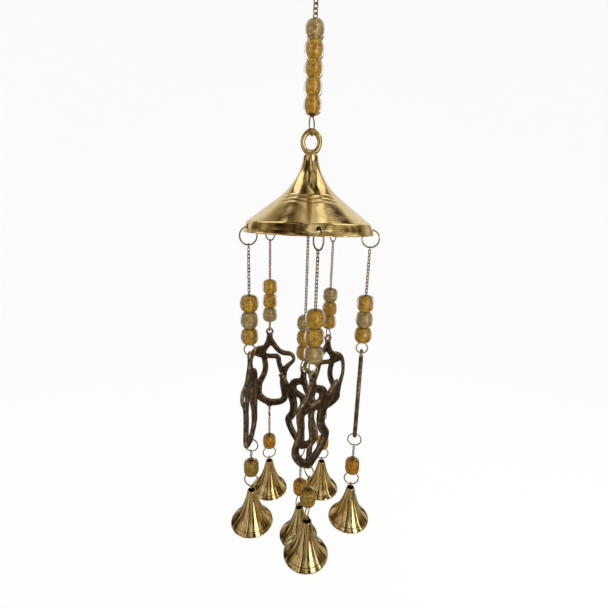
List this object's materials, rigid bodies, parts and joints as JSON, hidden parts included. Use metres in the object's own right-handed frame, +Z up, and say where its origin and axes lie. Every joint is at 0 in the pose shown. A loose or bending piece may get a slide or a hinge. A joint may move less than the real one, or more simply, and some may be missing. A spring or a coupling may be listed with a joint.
{
  "type": "wind chime",
  "caption": "Hanging wind chime: a trumpet-shaped spun brass canopy, glass beads on fine chain, open-work cast charms and small brass bells with clappers.",
  "frame": {"origin": "where a hook bears, at the top of the hanging ring's hole", "axes": "+Z up; the front strand hangs towards -Y, and the cast eye and the hanging ring face -Y"},
  "size_m": [0.1019, 0.1015, 0.3798],
  "materials": {
    "spun_brass": "spun and polished, with fine turned rings",
    "cast_brass": "cast or bent wire, lightly darkened",
    "chain_brass": "small drawn links and wire rings",
    "charm_bronze": "dark antique patina, rubbed bright on the edges",
    "bead_glass": "clear lampworked glass over a gold-amber foil core",
    "clapper_iron": "dull cast drop"
  },
  "bodies": {
    "hanger": {"hanger_ring": "chain_brass"},
    "top_strand": {"top_chain": "chain_brass", "top_beads": "bead_glass"},
    "canopy": {"canopy": "spun_brass", "top_eye": "cast_brass", "eye_nut": "cast_brass"},
    "front_upper": {"front_upper_chain": "chain_brass", "front_upper_beads": "bead_glass"},
    "front_charm": {"front_charm": "charm_bronze"},
    "front_drop": {"front_lower_chain": "chain_brass", "front_lower_bead": "bead_glass"},
    "front_bell": {"front_bell": "spun_brass", "front_bell_eye": "cast_brass"},
    "front_clapper": {"front_clapper": "clapper_iron"},
    "right_upper": {"right_upper_chain": "chain_brass", "right_upper_beads": "bead_glass"},
    "right_charm": {"right_charm": "charm_bronze"},
    "right_drop": {"right_lower_chain": "chain_brass", "right_lower_bead": "bead_glass"},
    "right_bell": {"right_bell": "spun_brass", "right_bell_eye": "cast_brass"},
    "right_clapper": {"right_clapper": "clapper_iron"},
    "back_right_upper": {"back_right_upper_chain": "chain_brass", "back_right_upper_beads": "bead_glass"},
    "back_right_charm": {"back_right_charm": "charm_bronze"},
    "back_right_drop": {"back_right_lower_chain": "chain_brass", "back_right_lower_bead": "bead_glass"},
    "back_right_bell": {"back_right_bell": "spun_brass", "back_right_bell_eye": "cast_brass"},
    "back_right_clapper": {"back_right_clapper": "clapper_iron"},
    "back_left_upper": {"back_left_upper_chain": "chain_brass", "back_left_upper_beads": "bead_glass"},
    "back_left_charm": {"back_left_charm": "charm_bronze"},
    "back_left_drop": {"back_left_lower_chain": "chain_brass", "back_left_lower_bead": "bead_glass"},
    "back_left_bell": {"back_left_bell": "spun_brass", "back_left_bell_eye": "cast_brass"},
    "back_left_clapper": {"back_left_clapper": "clapper_iron"},
    "left_upper": {"left_upper_chain": "chain_brass", "left_upper_beads": "bead_glass"},
    "left_charm": {"left_charm": "charm_bronze"},
    "left_drop": {"left_lower_chain": "chain_brass", "left_lower_bead": "bead_glass"},
    "left_bell": {"left_bell": "spun_brass", "left_bell_eye": "cast_brass"},
    "left_clapper": {"left_clapper": "clapper_iron"},
    "centre_upper": {"centre_upper_chain": "chain_brass", "centre_upper_beads": "bead_glass"},
    "centre_charm": {"centre_charm": "charm_bronze"},
    "centre_drop": {"centre_lower_chain": "chain_brass", "centre_lower_bead": "bead_glass"},
    "centre_bell": {"centre_bell": "spun_brass", "centre_bell_eye": "cast_brass"},
    "centre_clapper": {"centre_clapper": "clapper_iron"}
  },
  "joints": [
    {"name": "hanger_swing", "type": "hinge", "parent": "hanger", "child": "top_strand", "pos_m": [0, 0, -0.01305], "axis": [1, 0, 0], "range_deg": [-20, 20]},
    {"name": "canopy_swing", "type": "hinge", "parent": "top_strand", "child": "canopy", "pos_m": [0, 0, -0.08821], "axis": [0, 1, 0], "range_deg": [-15, 15]},
    {"name": "front_strand_swing", "type": "hinge", "parent": "canopy", "child": "front_upper", "pos_m": [0.0053, -0.03773, -0.1394], "axis": [-0.9903, -0.1392, 0], "range_deg": [-1.2, 20]},
    {"name": "front_charm_turn", "type": "hinge", "parent": "front_upper", "child": "front_charm", "pos_m": [0.0053, -0.03773, -0.22036], "axis": [0, 0, 1], "range_deg": [-20, 20]},
    {"name": "front_drop_swing", "type": "hinge", "parent": "front_charm", "child": "front_drop", "pos_m": [0.0053, -0.03773, -0.28116], "axis": [-0.766, -0.6428, 0], "range_deg": [-2, 15]},
    {"name": "front_bell_swing", "type": "hinge", "parent": "front_drop", "child": "front_bell", "pos_m": [0.0053, -0.03773, -0.32182], "axis": [-0.2924, -0.9563, 0], "range_deg": [-6, 8]},
    {"name": "front_clapper_swing", "type": "hinge", "parent": "front_bell", "child": "front_clapper", "pos_m": [0.0053, -0.03773, -0.33451], "axis": [-0.9563, 0.2924, 0], "range_deg": [-22, 22]},
    {"name": "right_strand_swing", "type": "hinge", "parent": "canopy", "child": "right_upper", "pos_m": [0.03752, -0.00662, -0.1394], "axis": [-0.1736, -0.9848, 0], "range_deg": [-1.2, 20]},
    {"name": "right_charm_turn", "type": "hinge", "parent": "right_upper", "child": "right_charm", "pos_m": [0.03752, -0.00662, -0.21836], "axis": [0, 0, 1], "range_deg": [-20, 20]},
    {"name": "right_drop_swing", "type": "hinge", "parent": "right_charm", "child": "right_drop", "pos_m": [0.03752, -0.00662, -0.27916], "axis": [-0.1736, -0.9848, 0], "range_deg": [-2, 15]},
    {"name": "right_bell_swing", "type": "hinge", "parent": "right_drop", "child": "right_bell", "pos_m": [0.03752, -0.00662, -0.32182], "axis": [-0.9945, 0.1045, 0], "range_deg": [-6, 8]},
    {"name": "right_clapper_swing", "type": "hinge", "parent": "right_bell", "child": "right_clapper", "pos_m": [0.03752, -0.00662, -0.33451], "axis": [0.1045, 0.9945, 0], "range_deg": [-22, 22]},
    {"name": "back_right_strand_swing", "type": "hinge", "parent": "canopy", "child": "back_right_upper", "pos_m": [0.01789, 0.03364, -0.1394], "axis": [0.8829, -0.4695, 0], "range_deg": [-1.2, 20]},
    {"name": "back_right_charm_turn", "type": "hinge", "parent": "back_right_upper", "child": "back_right_charm", "pos_m": [0.01789, 0.03364, -0.22236], "axis": [0, 0, 1], "range_deg": [-20, 20]},
    {"name": "back_right_drop_swing", "type": "hinge", "parent": "back_right_charm", "child": "back_right_drop", "pos_m": [0.01789, 0.03364, -0.28316], "axis": [0.9397, 0.342, 0], "range_deg": [-2, 15]},
    {"name": "back_right_bell_swing", "type": "hinge", "parent": "back_right_drop", "child": "back_right_bell", "pos_m": [0.01789, 0.03364, -0.33182], "axis": [1, 0, 0], "range_deg": [-6, 8]},
    {"name": "back_right_clapper_swing", "type": "hinge", "parent": "back_right_bell", "child": "back_right_clapper", "pos_m": [0.01789, 0.03364, -0.34451], "axis": [0, 1, 0], "range_deg": [-22, 22]},
    {"name": "back_left_strand_swing", "type": "hinge", "parent": "canopy", "child": "back_left_upper", "pos_m": [-0.02647, 0.02741, -0.1394], "axis": [0.7193, 0.6947, 0], "range_deg": [-1.2, 20]},
    {"name": "back_left_charm_turn", "type": "hinge", "parent": "back_left_upper", "child": "back_left_charm", "pos_m": [-0.02647, 0.02741, -0.21636], "axis": [0, 0, 1], "range_deg": [-20, 20]},
    {"name": "back_left_drop_swing", "type": "hinge", "parent": "back_left_charm", "child": "back_left_drop", "pos_m": [-0.02647, 0.02741, -0.27716], "axis": [1, 0, 0], "range_deg": [-2, 15]},
    {"name": "back_left_bell_swing", "type": "hinge", "parent": "back_left_drop", "child": "back_left_bell", "pos_m": [-0.02647, 0.02741, -0.32782], "axis": [0.9659, 0.2588, 0], "range_deg": [-6, 8]},
    {"name": "back_left_clapper_swing", "type": "hinge", "parent": "back_left_bell", "child": "back_left_clapper", "pos_m": [-0.02647, 0.02741, -0.34051], "axis": [-0.2588, 0.9659, 0], "range_deg": [-22, 22]},
    {"name": "left_strand_swing", "type": "hinge", "parent": "canopy", "child": "left_upper", "pos_m": [-0.03424, -0.0167, -0.1394], "axis": [-0.4384, 0.8988, 0], "range_deg": [-1.2, 20]},
    {"name": "left_charm_turn", "type": "hinge", "parent": "left_upper", "child": "left_charm", "pos_m": [-0.03424, -0.0167, -0.21836], "axis": [0, 0, 1], "range_deg": [-20, 20]},
    {"name": "left_drop_swing", "type": "hinge", "parent": "left_charm", "child": "left_drop", "pos_m": [-0.03424, -0.0167, -0.27916], "axis": [0.1045, 0.9945, 0], "range_deg": [-2, 15]},
    {"name": "left_bell_swing", "type": "hinge", "parent": "left_drop", "child": "left_bell", "pos_m": [-0.03424, -0.0167, -0.31782], "axis": [-0.9848, 0.1736, 0], "range_deg": [-6, 8]},
    {"name": "left_clapper_swing", "type": "hinge", "parent": "left_bell", "child": "left_clapper", "pos_m": [-0.03424, -0.0167, -0.33051], "axis": [0.1736, 0.9848, 0], "range_deg": [-22, 22]},
    {"name": "centre_strand_swing", "type": "hinge", "parent": "canopy", "child": "centre_upper", "pos_m": [0, 0, -0.10861], "axis": [1, 0, 0], "range_deg": [-1.5, 1.5]},
    {"name": "centre_charm_turn", "type": "hinge", "parent": "centre_upper", "child": "centre_charm", "pos_m": [0, 0, -0.23457], "axis": [0, 0, 1], "range_deg": [-20, 20]},
    {"name": "centre_drop_swing", "type": "hinge", "parent": "centre_charm", "child": "centre_drop", "pos_m": [0, 0, -0.29537], "axis": [0.8192, -0.5736, 0], "range_deg": [-2, 12]},
    {"name": "centre_bell_swing", "type": "hinge", "parent": "centre_drop", "child": "centre_bell", "pos_m": [0, 0, -0.34803], "axis": [0.5, 0.866, 0], "range_deg": [-6, 6]},
    {"name": "centre_clapper_swing", "type": "hinge", "parent": "centre_bell", "child": "centre_clapper", "pos_m": [0, 0, -0.36072], "axis": [-0.866, 0.5, 0], "range_deg": [-22, 22]}
  ]
}
